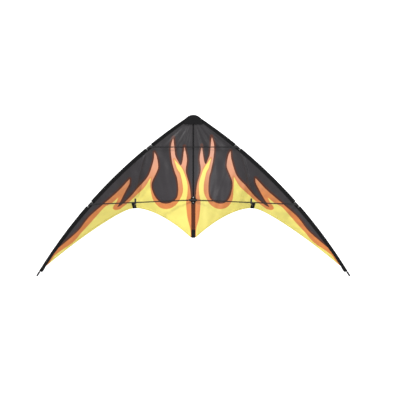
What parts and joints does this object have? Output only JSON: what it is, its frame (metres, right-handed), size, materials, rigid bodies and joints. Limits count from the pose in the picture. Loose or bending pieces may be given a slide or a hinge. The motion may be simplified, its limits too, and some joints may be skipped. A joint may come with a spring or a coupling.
{
  "type": "delta kite",
  "caption": "Two-line delta stunt kite: swept sail on bent edge spars, with a spine, spreaders and standoffs; spreaders swing in and the wings fold.",
  "frame": {"origin": "centre of the hub's socket arms, where the lower spreaders' lines meet", "axes": "+X to the right wing as the flyer sees the front, +Y away from the flyer, +Z to the nose"},
  "size_m": [1.4526, 0.1237, 0.7452],
  "materials": {
    "rod": "pultruded fibreglass rod, black",
    "vinyl": "moulded black vinyl",
    "sail": "printed ripstop, black with flames",
    "webbing": "black woven polyester",
    "hem": "folded ripstop tape",
    "clip": "pale moulded clip",
    "ferrule": "drawn tube"
  },
  "bodies": {
    "spine": {"spine_rod": "rod", "spine_nose_cap": "vinyl", "spine_tail_cap": "vinyl", "centre_hub": "vinyl", "seam_tape": "webbing", "nose_pocket": "webbing", "tail_patch": "webbing"},
    "tail_strap": {"tail_strap": "webbing"},
    "left_wing": {"left_upper_edge_spar": "rod", "left_lower_edge_spar": "rod", "left_edge_ferrule": "ferrule", "left_spar_nose_cap": "vinyl", "left_tip_nock": "vinyl", "left_edge_sleeve": "webbing", "left_sail": "sail", "left_trailing_hem": "hem", "left_hub_patch": "webbing", "left_nose_cover": "webbing", "left_upper_connector": "vinyl", "left_lower_connector": "vinyl", "left_upper_stop_clips": "clip", "left_lower_stop_clips": "clip", "left_standoff_cap": "vinyl"},
    "right_wing": {"right_upper_edge_spar": "rod", "right_lower_edge_spar": "rod", "right_edge_ferrule": "ferrule", "right_spar_nose_cap": "vinyl", "right_tip_nock": "vinyl", "right_edge_sleeve": "webbing", "right_sail": "sail", "right_trailing_hem": "hem", "right_hub_patch": "webbing", "right_nose_cover": "webbing", "right_upper_connector": "vinyl", "right_lower_connector": "vinyl", "right_upper_stop_clips": "clip", "right_lower_stop_clips": "clip", "right_standoff_cap": "vinyl", "right_upper_arm": "vinyl"},
    "upper_spreader": {"upper_spreader_rod": "rod", "left_upper_arm": "vinyl"},
    "left_spreader": {"left_lower_spreader_rod": "rod", "left_lower_arm": "vinyl"},
    "left_standoff": {"left_standoff_fitting": "vinyl", "left_standoff_rod": "rod"},
    "right_spreader": {"right_lower_spreader_rod": "rod", "right_lower_arm": "vinyl"},
    "right_standoff": {"right_standoff_fitting": "vinyl", "right_standoff_rod": "rod"}
  },
  "joints": [
    {"name": "left_wing_fold", "type": "hinge", "parent": "spine", "child": "left_wing", "pos_m": [0, 0, 0], "axis": [0, 0, 1], "range_deg": [0, 75], "deforming": ["left_hub_patch"]},
    {"name": "right_wing_fold", "type": "hinge", "parent": "spine", "child": "right_wing", "pos_m": [0, 0, 0], "axis": [0, 0, -1], "range_deg": [0, 75], "deforming": ["right_hub_patch"]},
    {"name": "upper_spreader_swing", "type": "hinge", "parent": "left_wing", "child": "upper_spreader", "pos_m": [-0.20469, 0, 0.24417], "axis": [0.3756, 0, -0.9268], "range_deg": [0, 165]},
    {"name": "left_spreader_swing", "type": "hinge", "parent": "left_wing", "child": "left_spreader", "pos_m": [-0.47787, 0, -0.02079], "axis": [0.0023, -0.9986, -0.0523], "range_deg": [0, 34]},
    {"name": "right_spreader_swing", "type": "hinge", "parent": "right_wing", "child": "right_spreader", "pos_m": [0.47787, 0, -0.02079], "axis": [0.0023, 0.9986, 0.0523], "range_deg": [0, 34]},
    {"name": "left_standoff_swing", "type": "hinge", "parent": "left_spreader", "child": "left_standoff", "pos_m": [-0.26675, 0, -0.01161], "axis": [-0.9991, 0, -0.0435], "range_deg": [0, 95]},
    {"name": "right_standoff_swing", "type": "hinge", "parent": "right_spreader", "child": "right_standoff", "pos_m": [0.26675, 0, -0.01161], "axis": [-0.9991, 0, 0.0435], "range_deg": [0, 95]},
    {"name": "tail_strap_open", "type": "hinge", "parent": "spine", "child": "tail_strap", "pos_m": [0, 0.0076, -0.1748], "axis": [-1, 0, 0], "range_deg": [0, 110]}
  ],
  "couplings": [
    {"joint": "right_wing_fold", "follows": "left_wing_fold", "ratio": 1},
    {"joint": "upper_spreader_swing", "follows": "left_wing_fold", "ratio": 2.2},
    {"joint": "left_standoff_swing", "follows": "left_spreader_swing", "ratio": 2.79},
    {"joint": "right_standoff_swing", "follows": "right_spreader_swing", "ratio": 2.79}
  ]
}
